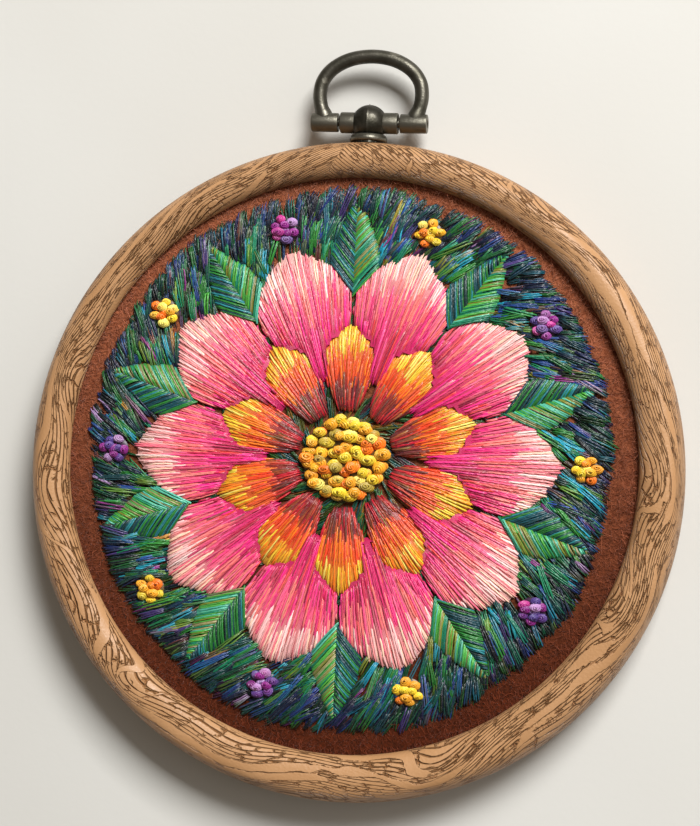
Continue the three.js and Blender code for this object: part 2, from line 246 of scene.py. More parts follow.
def vinyl_material():
    """Tan vinyl with an embossed woodgrain: ridges between thin wormy grooves, and smooth growth bands. grain
    counts grooves, density is grooves a millimetre, along is millimetres round the ring, contour counts bands
    and banding is bands a millimetre."""
    m = Nodes("woodgrain_vinyl")
    grain, density, along, contour, banding = (
        m.attribute(k) for k in ("grain", "density", "along", "contour", "banding"))

    def uneven(around, across, layer=0.0, detail=2.0, rough=0.5, over=grain):
        """Noise with this many cells to a millimetre round the ring and to a groove across it. Each layer has
        another pattern."""
        return m.noise(m.vector(m.times(along, around), m.times(over, across), layer), 1.0, detail, rough)

    slow = m.less(uneven(0.3, 0.3), 0.5)
    fast = m.less(uneven(1.3, 0.7, rough=0.6), 0.5)
    other = m.less(uneven(1.3, 1.2, 7.0, rough=0.6), 0.5)
    lines = m.plus(grain, m.times(density, m.plus(m.times(slow, 1.3), m.times(fast, 0.85))))
    run = m.plus(m.times(along, 0.42), other)
    # Both distances are in millimetres: to the nearest groove, and to the nearest join between two grooves.
    wave = m.math("DIVIDE", m.math("PINGPONG", lines, 0.5), m.math("MAXIMUM", density, 0.5))
    cells = m.add("ShaderNodeTexVoronoi", {"Vector": m.vector(run, lines), "Scale": 1.0, "Randomness": 1.0},
                  voronoi_dimensions="2D", feature="DISTANCE_TO_EDGE").outputs["Distance"]
    breaks = uneven(0.55, 0.6, 3.0, rough=0.55, over=lines)
    joins = uneven(0.4, 0.4, 11.0, detail=1.0, over=lines)
    groove = m.math("MINIMUM", m.plus(wave, m.range(breaks, 0.3, 0.55, 0.14, -0.04)),
                    m.plus(m.times(cells, 1.7), m.range(joins, 0.42, 0.56, 0.35, -0.01)))
    ridge = m.range(groove, 0.0, 0.14)
    crown = m.range(groove, -0.08, 0.34)
    beads = m.range(uneven(3.4, 2.0, 5.0, detail=1.0), 0.58, 0.7)
    bands = m.plus(contour, m.times(banding, m.plus(m.times(slow, 0.9), m.times(fast, 0.25))))
    from_band = m.math("DIVIDE", m.less(0.5, m.math("PINGPONG", bands, 0.5)), m.math("MAXIMUM", banding, 0.1))
    # The smooth bands swell, narrow and stop along the ring.
    patchy = uneven(0.07, 0.12, 9.0, detail=1.0)
    side = m.less(m.range(patchy, 0.38, 0.6, 0.78, -0.14, smooth=False), from_band)
    smooth = m.range(side, 0.0, 0.06)
    line = m.less(1.0, m.range(m.math("ABSOLUTE", side), 0.02, 0.09))
    line = m.times(line, m.range(m.plus(other, fast), -0.12, 0.08))
    rough_part = m.less(1.0, smooth)
    height = m.plus(m.times(ridge, 0.05), m.times(crown, 0.93))
    height = m.plus(height, m.times(m.times(beads, m.less(1.0, crown)), 0.35))
    height = m.plus(m.times(height, rough_part), m.times(smooth, 1.05))
    height = m.less(height, m.times(line, 0.3))
    pits = m.noise(m.position(), 2600.0, 2.0, 0.6)
    height = m.plus(height, m.times(pits, 0.12))
    base = m.mix(m.range(uneven(0.1, 0.12), 0.3, 0.7), "a5794f", "b3875d")
    # The smooth bands are a lighter tan, and the ridge crowns are painted lighter as a painted highlight.
    base = m.mix(m.times(m.math("MAXIMUM", smooth, crown), 0.3), base, "c2956a")
    # Painted shade darkens the wide hollows beside the grooves. The grooves and the bands' dark edges are
    # darker still, partly a brown stain and partly painted shade, and some grooves are darker than others.
    furrow_shade = m.times(m.less(1.0, m.range(groove, -0.02, 0.3)), rough_part)
    base = m.mix(m.times(furrow_shade, 0.6), base, "966236")
    depth = m.range(uneven(0.25, 0.8, 17.0, detail=1.0, over=lines), 0.35, 0.62, 0.1, 0.5)
    closed = m.math("MAXIMUM", m.times(m.less(1.0, ridge), rough_part), m.times(line, 0.8))
    stain_and_shade = m.mix(m.times(closed, depth), base, "8c5024")
    rough = m.range(slow, -0.2, 0.2, 0.42, 0.52, smooth=False)
    rough = m.less(rough, m.times(beads, 0.12))
    return m.set(color=stain_and_shade, rough=rough, specular=0.4, normal=m.bump(height, 0.0005, 1.0))


def felt_material():
    """Short matted wool: clumps of darker and lighter fibre."""
    m = Nodes("brown_felt")
    p = m.position()
    fibres = m.noise(p, 1300.0, 4.0, 0.7, 1.8)
    clumps = m.noise(p, 300.0, 3.0, 0.6, 0.8)
    # Painted light and shade: the felt is painted lighter and greyer at the top of the hoop and darker
    # towards its bottom.
    painted_top_light = m.range(m.add("ShaderNodeSeparateXYZ", {0: p}).outputs[1], -0.047, 0.034)
    dark = m.mix(painted_top_light, "2f0e03", "6a2f19")
    light = m.mix(painted_top_light, "5c250e", "ac6646")
    color = m.mix(m.range(fibres, 0.32, 0.68), dark, light)
    color = m.mix(m.times(m.range(clumps, 0.35, 0.65), 0.3), color, light)
    height = m.plus(fibres, m.times(clumps, 1.5))
    return m.set(color=color, rough=0.95, specular=0.12, sheen=0.18, sheen_rough=0.5,
                 sheen_tint=(0.8, 0.38, 0.2, 1.0), normal=m.bump(height, 0.00045, 1.0))


def fibre_material():
    m = Nodes("felt_fibre")
    return m.set(color=m.attribute("tint", "Color"), rough=0.8, specular=0.2, sheen=0.15, sheen_rough=0.4)


def thread_material():
    """Cotton thread: lay counts turns of the ply along each thread."""
    m = Nodes("cotton_thread")
    lay = m.attribute("lay")
    tint = m.attribute("tint", "Color")
    ply = m.math("PINGPONG", lay, 0.5)
    ply = m.range(ply, 0.0, 0.3)
    hairs_and_sheen = m.noise(m.position(), 4200.0, 2.0, 0.6)
    # Painted shade darkens the crevices between the plies, and a painted sheen lightens the fuzz on the
    # thread.
    dark = m.mix(1.0, tint, (0.35, 0.3, 0.3), "MULTIPLY")
    color = m.mix(m.times(m.less(1.0, ply), 0.35), tint, dark)
    color = m.mix(m.times(m.range(hairs_and_sheen, 0.5, 0.8), 0.05), color, (1.0, 0.95, 0.95))
    height = m.plus(ply, m.times(hairs_and_sheen, 0.5))
    return m.set(color=color, rough=0.36, specular=0.5, sheen=0.04, sheen_rough=0.4,
                 normal=m.bump(height, 0.00004, 0.7))


def bronze_material():
    """Antique plating: dark in the hollows, worn brighter on edges and crowns, with fine scratches."""
    m = Nodes("antique_bronze")
    p = m.position()
    worn = m.range(m.add("ShaderNodeNewGeometry").outputs["Pointiness"], 0.5, 0.56)
    cloud = m.noise(p, 420.0, 4.0, 0.6)
    speck = m.noise(p, 3200.0, 2.0, 0.6)
    base = m.mix(m.range(cloud, 0.35, 0.68), "35332a", "55524a")
    base = m.mix(m.times(worn, 0.6), base, "8d897c")
    rough = m.range(cloud, 0.3, 0.7, 0.45, 0.3, smooth=False)
    rough = m.plus(rough, m.times(speck, 0.08))
    height = m.plus(cloud, m.times(speck, 0.7))
    return m.set(color=base, rough=rough, metal=0.9, normal=m.bump(height, 0.00006, 0.8))


def plastic_material():
    m = Nodes("inner_plastic")
    p = m.position()
    flow = m.noise(p, 180.0, 3.0, 0.5)
    grain = m.noise(p, 3500.0, 2.0, 0.5)
    color = m.mix(m.range(flow, 0.35, 0.65), "a9825a", "b98f66")
    return m.set(color=color, rough=m.range(flow, 0.3, 0.7, 0.42, 0.55), normal=m.bump(grain, 0.00004, 0.5))


VINYL, FELT, FIBRE, THREAD, BRONZE, PLASTIC = (
    make() for make in (vinyl_material, felt_material, fibre_material, thread_material, bronze_material,
                        plastic_material))


# Rings

def bezier(points, steps):
    """Points along a quadratic or cubic curve, without its last point."""
    t = np.arange(steps)[:, None] / steps
    p = [np.asarray(q, float) for q in points]
    if len(p) == 3:
        return (1 - t) ** 2 * p[0] + 2 * (1 - t) * t * p[1] + t ** 2 * p[2]
    return (1 - t) ** 3 * p[0] + 3 * (1 - t) ** 2 * t * p[1] + 3 * (1 - t) * t ** 2 * p[2] + t ** 3 * p[3]


def smoothstep(x, a, b):
    t = np.clip((x - a) / (b - a), 0, 1)
    return t * t * (3 - 2 * t)


def ring_section():
    """The outer ring's closed outline as (radius, height)."""
    under = FELT_TOP + GAP
    lip = under + 0.5
    return np.concatenate([
        bezier([(BACK_R, 0), (OUTER_R - 0.1, 0.5), (OUTER_R, WIDEST_Z)], 10),
        bezier([(OUTER_R, WIDEST_Z), (OUTER_R, HEIGHT - 2), (CREST_R + 2.1, HEIGHT), (CREST_R, HEIGHT)], 22),
        bezier([(CREST_R, HEIGHT), (CREST_R - 1.9, HEIGHT), (LIP_R + 0.2, HEIGHT - 1), (LIP_R, lip)], 18),
        bezier([(LIP_R, lip), (LIP_R - 0.04, under), (LIP_R + 0.5, under)], 5),
        [(SEAT_R - 0.8, under), (SEAT_R, under), (SEAT_R, under - 0.4), (SEAT_R, 3.5), (SEAT_R, 0.25),
         (SEAT_R + 0.2, 0.03), (SEAT_R + 1.2, 0.0), (BACK_R - 0.6, 0.0)],
    ])


# The woodgrain starts and ends at a seam beside the hanger: its degrees round the ring from +X, and its lean
# in radians to a millimetre of the section.
SEAM, SEAM_LEAN = 94.5, 0.012
# Millimetres round the ring are counted on its crest.
ROUND = 2 * math.pi * CREST_R
# Grooves to a millimetre of the grain's height, and its millimetres from one growth band to the next.
LINES_A_MM, BAND_MM = 2.05, 3.0
# The share of the knots' height that bends the grooves, and the bands.
LINE_SHARE, BAND_SHARE = 0.5, 0.95
# Knots in the grain as (degrees round the ring, millimetres up from the crest, height, length, width).
KNOTS = [(1, 0.4, 4.9, 8, 3.0), (22, -2.5, -3.2, 7, 2.3), (38, 2.6, 3.2, 9, 2.4), (57, -1.2, -4.0, 9, 2.6),
         (121, 0.8, 4.0, 8, 2.6), (142, -2.0, -3.2, 7, 2.2), (163, 1.4, 3.8, 6, 2.5),
         (187, -1.0, 4.6, 9, 2.9), (208, 1.8, -3.4, 6, 2.3), (226, -0.6, 4.2, 6, 2.7),
         (246, 1.0, 3.0, 11, 2.3), (268, -1.5, -3.8, 7, 2.5), (289, 0.6, 4.4, 6, 2.8),
         (311, -0.8, -3.6, 13, 2.4), (334, 1.2, 3.8, 7, 2.5), (348, -2.4, -2.8, 5, 2.1)]


def grain_height(u, v, share):
    """The height, in millimetres, whose level lines are the grooves or bands, at u millimetres round the ring
    from its seam and v millimetres up its section from the crest. A share of the knots' height is added; it
    bends the level lines or closes them into ovals and tongues."""
    left, right = u, ROUND - u
    height = v + 0.5 * np.sin(u * 0.13 + 1) + 0.25 * np.sin(u * 0.37)
    # The grooves cross the ring at a slant on both sides of the seam.
    height = height - 0.72 * 13 * (1 - np.exp(-left / 13)) + 0.8 * 15 * np.exp(-right / 15)
    away = smoothstep(np.minimum(left, right), 5.0, 12.0)
    for degrees, up, high, long, wide in KNOTS:
        at = math.radians((degrees - SEAM) % 360) * CREST_R
        height = height + share * away * high * np.exp(-((u - at) / long) ** 2 - ((v - up) / wide) ** 2)
    return height

def grain_slope(u, v, share):
    here, step = grain_height(u, v, share), 0.05
    return np.hypot(grain_height(u + step, v, share) - here, grain_height(u, v + step, share) - here) / step


def grain_fields(u, v):
    """The woodgrain's point layers."""
    away = smoothstep(np.minimum(u, ROUND - u), 8.0, 14.0)
    bands = grain_height(u, v, BAND_SHARE) / BAND_MM + 0.2
    return {"grain": LINES_A_MM * grain_height(u, v, LINE_SHARE),
            "density": LINES_A_MM * grain_slope(u, v, LINE_SHARE),
            "contour": bands * away, "banding": grain_slope(u, v, BAND_SHARE) / BAND_MM, "along": u}

def outer_ring():
    section = ring_section()
    steps = 900
    r, z = section.T
    up = np.concatenate([[0], np.cumsum(np.linalg.norm(np.diff(section, axis=0), axis=1))])
    up = up - up[np.argmax(z)]
    turned_by = np.linspace(0, 2 * math.pi, steps + 1)
    ab, rr = np.meshgrid(turned_by, r, indexing="ij")
    zz, vv = np.broadcast_to(z, ab.shape), np.broadcast_to(up, ab.shape)
    angle = math.radians(SEAM) + ab + SEAM_LEAN * vv
    under = zz <= STITCH_Z + 0.01
    front = smoothstep(CREST_R + 1.5 - rr, 0, CREST_R + 1.5 - LIP_R)
    share = np.where(~under | (rr < LIP_R + 0.4), front, np.where(rr < SEAT_R - 0.5, 0.7 * front, 0))
    x = rr * np.cos(angle) + share * LIP_SHIFT[0] + CENTRE[0]
    y = rr * np.sin(angle) + share * LIP_SHIFT[1] + CENTRE[1]
    layers = {key: value.ravel() for key, value in grain_fields(ab * CREST_R, vv).items()}
    points = np.stack([x, y, zz], -1).reshape(-1, 3)
    faces = grid_faces(steps + 1, len(section), close_columns=True)
    piece("outer_hoop_vinyl", points, faces, VINYL, slot="vinyl", replaces=["outer_hoop"], **layers)


def inner_ring():
    r = SEAT_R - GAP - FELT_T - GAP
    low, top = 0.5, FELT_TOP - FELT_T - GAP
    profile = [(r - 2.4, low + 0.2), (r - 2.2, low), (r - 0.2, low), (r, low + 0.2),
               (r, top - 0.4), (r - 0.4, top), (r - 2.2, top), (r - 2.4, top - 0.2)]
    points, faces = turned(profile, 240, at=(*CENTRE, 0))
    piece("inner_hoop_band", points, faces, PLASTIC, slot="plastic", replaces=["inner_hoop"])


# Felt

def felt_sheet():
    """One sheet with thickness: a flat face, a turned corner and a wall down to its cut edge."""
    out = SEAT_R - GAP
    steps, corner = 360, 0.8
    flat = np.concatenate([np.linspace(0.6, 34, 8), np.linspace(35, out - corner, 20)])
    outside = [(r, FELT_TOP) for r in flat]
    outside += [(out - corner * (1 - math.sin(a)), FELT_TOP - corner * (1 - math.cos(a)))
                for a in np.linspace(0.2, math.pi / 2, 6)]
    outside += [(out, z) for z in np.linspace(FELT_TOP - corner - 0.6, FELT_TRIM_Z + 0.15, 6)]
    rim = [(out - 0.15, FELT_TRIM_Z), (out - FELT_T + 0.15, FELT_TRIM_Z)]
    low = FELT_TOP - FELT_T
    inside = [(out - FELT_T, z) for z in np.linspace(FELT_TRIM_Z + 0.15, low - 0.05, 6)]
    inside += [(r, low) for r in np.linspace(out - FELT_T - 0.15, 0.6, 14)]
    profile = np.array(outside + rim + inside)
    a = np.arange(steps) * 2 * math.pi / steps
    n = len(profile)
    r, z = np.tile(profile[:, 0], (steps, 1)), np.tile(profile[:, 1], (steps, 1))
    x, y = r * np.cos(a)[:, None], r * np.sin(a)[:, None]
    # Matted wool isn't flat: soft bumps on the face, held down near the rings.
    waves = ((1.9, 0.7, 0), (-0.8, 2.3, 1), (2.9, -2.1, 2), (0.9, 3.7, 3))
    soft = sum(np.sin(x * f + y * g + h) for f, g, h in waves) / len(waves)
    free = smoothstep(out - 1.2 - r, 0, 1.5)
    z += 0.05 * soft * free
    points = np.stack([x + CENTRE[0], y + CENTRE[1], z], -1).reshape(-1, 3)
    faces = grid_faces(steps, n, close_rows=True)
    # The two small holes at the middle are closed with fans.
    middle = np.array([[*CENTRE, FELT_TOP], [*CENTRE, low]])
    at = len(points)
    i = np.arange(steps)
    j = (i + 1) % steps
    tris = np.concatenate([np.stack([np.full(steps, at), i * n, j * n], 1),
                           np.stack([np.full(steps, at + 1), j * n + n - 1, i * n + n - 1], 1)])
    obj = piece("felt_cloth", np.concatenate([points, middle]), faces, FELT, slot="felt",
                replaces=["felt_ground"], tris=tris)


def felt_fibres():
    """Short stray fibres on the ring of felt round the stitching, most of them lying across it, and a fringe
    that leans on the lip."""
    spread, at_lip = 6200, 900
    count = spread + at_lip
    low, high = 36.5, 42.6
    near_lip = np.arange(count) >= spread
    a = rng.uniform(0, 2 * math.pi, count)
    r = np.where(near_lip, rng.uniform(40.7, 41.6, count), low + (high - low) * rng.random(count) ** 0.75)
    x = r * np.cos(a) + np.where(near_lip, LIP_SHIFT[0], 0)
    y = r * np.sin(a) + np.where(near_lip, LIP_SHIFT[1], 0)
    heading = a + np.where(near_lip, 0, rng.choice([0, math.pi], count)) + rng.normal(0, 0.6, count)
    long = np.where(near_lip, rng.uniform(0.6, 1.2, count), rng.uniform(0.6, 1.7, count))
    steps, sides = 3, 3
    s = np.linspace(0, 1, steps)[None]
    rise = np.where(near_lip, rng.uniform(0.9, 1.2, count), rng.uniform(0.1, 0.55, count))[:, None]
    curl = rng.normal(0, 0.7, count)[:, None]
    turned_to = heading[:, None] + curl * s
    px = x[:, None] + long[:, None] * s * np.cos(turned_to)
    py = y[:, None] + long[:, None] * s * np.sin(turned_to)
    arch = np.sin(s * math.pi * np.where(near_lip, 0.55, 0.75)[:, None])
    pz = FELT_TOP - 0.05 + rise * arch * long[:, None]
    paths = np.stack([px + CENTRE[0], py + CENTRE[1], pz], -1)
    radii = 0.03 * np.linspace(1, 0.4, steps)[None] * rng.uniform(0.7, 1.3, count)[:, None]
    points, faces = tubes(paths, radii, sides)
    # Painted light and shade: the fibres are painted lighter at the top of the hoop and darker towards its
    # bottom, as the felt is.
    painted_top_light = smoothstep(y + CENTRE[1], -47, 34)[:, None]
    tint = linear("6a2e16") * (1 - painted_top_light) + linear("b06c50") * painted_top_light
    tint = np.repeat(tint * rng.uniform(0.5, 1.7, (count, 1)), steps * sides, axis=0)
    piece("felt_fuzz", points, faces, FIBRE, slot="felt", tint=tint)


# Thread

# Millimetres to a turn of the ply, between a padding's threads and between a ground stitch's filaments.
PLY, PADDING_PITCH, FILAMENT_PITCH = 1.5, 0.22, 0.23
# A stitch dives into the cloth over about this distance from each end.
DIVE = 0.35
# Where the ground's colours change, in millimetres from the panel's middle.
ZONES = 29, 34.5


def shape_at(shape, s):
    """The share of its half width that a motif has at s, from its table."""
    return np.interp(s, np.linspace(0, 1, len(shape)), shape)


def half_width(motif, y):
    s = (y - motif["root"]) / (motif["tip"] - motif["root"])
    return np.where((s >= 0) & (s <= 1), motif["half"] * shape_at(motif["shape"], np.clip(s, 0, 1)), -1.0)


def top_of(motif, x, y):
    """Height of a motif's padded surface over STITCH_Z."""
    s = np.clip((y - motif["root"]) / (motif["tip"] - motif["root"]), 0, 1)
    w = motif["half"] * shape_at(motif["shape"], s)
    t = np.clip(np.abs(x) / np.maximum(w, 0.1), 0, 1)
    arch = np.sin(math.pi * np.minimum(1, 0.18 + 0.8 * s)) ** 0.6
    vein = motif["vein"] * np.exp(-(x / 0.45) ** 2)
    return motif["edge"] + motif["crown"] * arch * (1 - t ** 2) - vein


def from_copy(x, y, offset):
    """Points of the panel's plane from the nearest of a motif's ten copies: across it, and out along it."""
    a = (np.arctan2(-x, y) - offset * TURN + TURN / 2) % TURN - TURN / 2
    r = np.hypot(x, y)
    return r * np.sin(a), r * np.cos(a)


def inside_any(x, y, motif, offset, grow):
    """Whether points of the panel's plane are in one of a motif's ten copies, each grown to its sides."""
    across, out = from_copy(x, y, offset)
    return np.abs(across) < half_width(motif, out) + grow


def turn(points, angle):
    """Turns points of the panel about its centre."""
    c, s = math.cos(angle), math.sin(angle)
    out = points.copy()
    out[..., 0] = c * points[..., 0] - s * points[..., 1]
    out[..., 1] = s * points[..., 0] + c * points[..., 1]
    return out


def colours_of(palette):
    """A palette's linear colours, and their shares."""
    return np.array([linear(c) for c in palette]), np.array(list(palette.values()), float)


def pick(palette, count):
    """Colours drawn from a palette, each a little varied."""
    colours, share = colours_of(palette)
    chosen = colours[rng.choice(len(colours), count, p=share / share.sum())]
    return chosen * rng.uniform(0.8, 1.18, (count, 1))


def blend(palette):
    """A palette's mean colour."""
    colours, share = colours_of(palette)
    return share @ colours / share.sum()


def thread_piece(name, paths, radii, colours, node, slot, sides, flat=0.8, under=None, plied=True):
    """Threads as one piece on the panel. colours is (threads, steps, 3). under is a surface below them: its
    points, faces, thread count at each point and colours. Without plied, the ply doesn't show."""
    n = len(paths)
    points, faces = tubes(paths, radii, sides, flat)
    step = np.linalg.norm(np.diff(paths, axis=1), axis=2)
    run = np.concatenate([np.zeros((n, 1)), np.cumsum(step, axis=1)], 1)
    around = np.arange(sides) / sides
    lay = (run[:, :, None] / PLY + around[None, None] * 2 + rng.random((n, 1, 1)) * 7).ravel()
    if not plied:
        lay = np.full_like(lay, 0.5)
    tint = np.repeat(colours.reshape(-1, 3), sides, axis=0)
    if under is not None:
        base, base_faces, base_lay, base_tint = under
        faces = np.concatenate([faces, base_faces + len(points)])
        points = np.concatenate([points, base])
        lay = np.concatenate([lay, base_lay])
        tint = np.concatenate([tint, np.broadcast_to(base_tint, base.shape)])
    points = points + np.array([*PANEL, 0])
    piece(name, points, faces, THREAD, slot=slot, replaces=[node], lay=lay, tint=tint)


def sideways(starts, ends, least=0.0):
    """Unit vectors square to stitches."""
    along = ends - starts
    return unit(np.stack([-along[:, 1], along[:, 0]], 1), least)


def near_end(starts, ends, s):
    """How far into its dive each stitch is at s along it: 1 at its ends, and fading over DIVE."""
    length = np.linalg.norm(ends - starts, axis=1)[:, None]
    return np.exp(-np.minimum(s, 1 - s)[None] * length / DIVE)


def strand_paths(starts, ends, height, steps, bow, dip=0.55):
    """Paths of straight stitches over a surface. height(x, y) is the surface, bow is how far they stray to a
    side, and each end goes down into the cloth by dip."""
    n = len(starts)
    s = np.linspace(0, 1, steps)
    s = 0.5 - 0.5 * np.cos(math.pi * s) * (0.6 + 0.4 * np.abs(np.cos(math.pi * s)))
    line = starts[:, None] + (ends - starts)[:, None] * s[None, :, None]
    stray = rng.normal(0, bow, n)[:, None] * np.sin(math.pi * s)[None]
    line += sideways(starts, ends, 1e-9)[:, None] * stray[:, :, None]
    z = height(line[..., 0], line[..., 1]) - dip * near_end(starts, ends, s)
    return np.concatenate([line, z[..., None]], 2)


def fan_width(motif, s):
    """Half the width of a petal's fan of stitches at s."""
    return 1.08 * motif["half"] * (0.32 + 0.68 * np.clip(s, 0, 1) ** 0.85)


def petal_strands(motif, rows, pitch, tucked):
    """Long-and-short satin stitch that fills a petal from root to tip. rows are (from, to, palette), and no
    stitch goes where tucked says."""
    starts, ends, colours = [], [], []
    root, tip, half = motif["root"], motif["tip"], motif["half"]
    grid = np.linspace(0, 1, 241)
    fan = fan_width(motif, grid)
    width = half * shape_at(motif["shape"], grid)
    y = root + grid * (tip - root)
    # The fan is wider than the petal, so that its stitches fill the sides too.
    spread = 1.3
    count = int(2 * half * spread / pitch)
    for k in range(count):
        x = spread * ((k + 0.5) / count * 2 - 1) * fan
        inside = (np.abs(x) < width) & ~tucked(x, y)
        if inside.sum() < 8:
            continue
        low, high = np.argmax(inside), len(inside) - 1 - np.argmax(inside[::-1])
        for a, b, palette in rows:
            a = max(a + rng.uniform(-0.13, 0.1), grid[low] - rng.uniform(0, 0.012))
            b = min(b + rng.uniform(-0.1, 0.14), grid[high] + rng.uniform(-0.012, 0.02))
            if (b - a) * (tip - root) < 1.3:
                continue
            for at, out in ((a, starts), (b, ends)):
                out.append((np.interp(at, grid, x) + rng.normal(0, 0.07), root + at * (tip - root)))
            colours.append(pick(palette, 1)[0])
    return np.array(starts), np.array(ends), np.array(colours)


PINK_ROOT = {"e1236e": 4, "be1446": 3, "f01e87": 3, "96193c": 0.6, "e63c3c": 1}
PINK_MID = {"f05582": 4, "ee377d": 3, "f07873": 3, "eb5a5f": 2, "b43250": 0.3}
PINK_TIP = {"fabebc": 4, "ffd0b6": 3, "f59696": 3, "fcdcd7": 2, "ee6e82": 1}
FIRE_ROOT = {"642832": 3, "be1432": 3, "8c2828": 2}
FIRE_MID = {"e13c1e": 4, "f0781e": 3, "eb5a3c": 2}
FIRE_TIP = {"eba528": 4, "ebcd3c": 2, "f0781e": 3, "f0e16e": 1}
LEAF_DARK = {"144650": 3, "287832": 4, "143232": 2, "28828c": 2}
LEAF_LIGHT = {"50aa3c": 4, "14825a": 3, "5abea0": 2, "968c5a": 1, "828228": 2}
GROUND_IN = {"828228": 3, "287832": 4, "50aa3c": 3, "14825a": 3, "eba528": 1, "28828c": 2, "642832": 1}
GROUND_MID = {"144650": 3, "284b9b": 2, "14825a": 4, "2d8232": 4, "1ea0be": 2, "8c2882": 0.7, "191e46": 2,
              "6e963c": 1}
GROUND_OUT = {"161b3c": 5, "233c82": 2, "463473": 1.5, "101218": 5, "123c42": 3, "783c3c": 0.8, "1e5f2d": 2,
              "a07daa": 0.5}
WARM_KNOT = {"eba528": 4, "ebcd32": 3, "f0781e": 2, "f0e16e": 1}
PURPLE_KNOT = {"8c2882": 4, "503c82": 2, "b48cbe": 2, "be3c8c": 1}


def padding(motif, palettes, blocked):
    """The closely laid threads between a petal's raised stitches: its surface, a little lower, cut back where
    another motif lies on it."""
    rows, columns = 25, 13
    s = np.linspace(0.01, 0.985, rows)
    y = motif["root"] + s * (motif["tip"] - motif["root"])
    x = np.linspace(-0.95, 0.95, columns)[None] * half_width(motif, y)[:, None]
    y = np.broadcast_to(y[:, None], x.shape)
    # Toward its edges it sinks further than the stitches do where they go down into the felt.
    side = np.abs(np.linspace(-1, 1, columns))
    sink = 0.3 * smoothstep(s, 0.76, 0.96)[:, None] + 0.16 * smoothstep(side, 0.6, 0.9)[None]
    z = STITCH_Z + np.maximum(top_of(motif, x, y) - 0.05 - sink, 0.02)
    z = np.where((side == 1)[None] | (np.arange(rows) % (rows - 1) == 0)[:, None], STITCH_Z + 0.02, z)
    faces = grid_faces(rows, columns)
    covered = blocked(x.ravel(), y.ravel())
    faces = faces[~covered[faces].all(axis=1)]
    lay = x / fan_width(motif, s)[:, None] * motif["half"] / PADDING_PITCH
    means = np.array([blend(palette) for palette in palettes])
    # The padding is painted a fifth darker than its stitches' mean colour, as painted shade under them.
    tint = np.stack([np.interp(s, [0.25, 0.6, 0.88], means[:, k]) for k in range(3)], 1) * 0.8
    tint = np.repeat(tint, columns, axis=0)
    return np.stack([x, y, z], -1).reshape(-1, 3), faces, lay.ravel(), tint


def petals(name, motif, rows, offset, pitch, radius, slot, blocked, tucked):
    """Satin stitches over ten padded petals. blocked is where another motif lies on the padding, and tucked
    is where the stitches stop, a little under it."""
    base, *rest = padding(motif, [palette for _, _, palette in rows], blocked)
    for i in range(REPEATS):
        starts, ends, colours = petal_strands(motif, rows, pitch, tucked)
        n, steps = len(starts), 8
        paths = strand_paths(starts, ends, lambda x, y: STITCH_Z + top_of(motif, x, y), steps, bow=0.09)
        paths[..., 2] += rng.uniform(-0.16, 0.03, n)[:, None]
        s = np.linspace(0, 1, steps)
        radii = radius * rng.uniform(0.84, 1.14, n)[:, None] * (0.3 + 0.7 * np.sin(math.pi * s) ** 0.35)[None]
        drift = pick(rows[-1][2], n)
        mix = (0.3 * rng.random((n, 1, 1))) * s[None, :, None]
        tints = colours[:, None] * (1 - mix) + drift[:, None] * mix
        angle = (i + offset) * TURN
        thread_piece(f"{name}_{i:02d}_threads", turn(paths, angle), radii, tints, f"{name}_{i:02d}", slot,
                     sides=5, under=(turn(base, angle), *rest))


def in_knots(x, y):
    """Whether points of the panel's plane lie under its knotted middle."""
    return np.hypot(x, y) < CENTRE_R - 0.2


def leaves():
    """Fishbone stitch: threads slant from each side into the vein."""
    # The space between two threads, how far one can reach to its side, and its rise on the way.
    pitch, reach, slope = 0.31, 4.4, 1.25
    share = np.linspace(0, 1, 40)
    for i in range(REPEATS):
        starts, ends, side_of = [], [], []
        for side in (-1, 1):
            for y0 in np.arange(LEAF["root"] - 1.2, LEAF["tip"] - 0.6, pitch):
                y0 = y0 + rng.uniform(-0.08, 0.08)
                x = side * share * reach
                y = y0 + share * reach * slope
                inside = (np.abs(x) < half_width(LEAF, y) + 0.05) & ~inside_any(x, y, OUTER, 0.5, 0.12)
                inside &= ~inside_any(x, y, INNER, 0.0, 0.12)
                if inside.sum() < 4:
                    continue
                low, high = np.argmax(inside), len(inside) - 1 - np.argmax(inside[::-1])
                starts.append((x[low] - side * 0.12, y[low]))
                ends.append((x[high], y[high]))
                side_of.append(side)
        starts, ends, side_of = np.array(starts), np.array(ends), np.array(side_of)
        n, steps = len(starts), 7
        paths = strand_paths(starts, ends, lambda x, y: STITCH_Z + top_of(LEAF, x, y), steps, bow=0.08,
                             dip=0.35)
        paths[..., 2] += rng.uniform(-0.06, 0.06, n)[:, None]
        radii = 0.165 * rng.uniform(0.85, 1.14, n)[:, None] * np.ones(steps)
        light, dark = pick(LEAF_LIGHT, n), pick(LEAF_DARK, n)
        tone = np.where(side_of[:, None] > 0, light, dark)
        s = np.linspace(0, 1, steps)[None, :, None]
        tints = tone[:, None] * (1 - 0.35 * s) + dark[:, None] * 0.35 * s
        thread_piece(f"leaf_{i:02d}_threads", turn(paths, i * TURN), radii, tints, f"leaf_{i:02d}",
                     "thread_leaf", sides=5)


def edge_radius(a):
    """How far the stitching reaches from the panel's middle: it is a little taller than wide, and ragged."""
    taller = 0.75 * np.cos(2 * (a - math.pi / 2))
    return PANEL_R + 0.1 + taller + 0.25 * np.sin(9 * a) + 0.2 * np.sin(23 * a + 1)


def outside_motifs(p, grow=-0.15):
    """Whether points of the panel lie on none of its motifs, each grown to its sides."""
    x, y = p[:, 0], p[:, 1]
    inside = inside_any(x, y, OUTER, 0.5, grow) | inside_any(x, y, INNER, 0.0, grow)
    inside |= inside_any(x, y, LEAF, 0.0, grow)
    across, out = from_copy(x, y, 0.5)
    return ~inside & (np.hypot(across, out - CLUSTER_AT) > CLUSTER_R + grow)


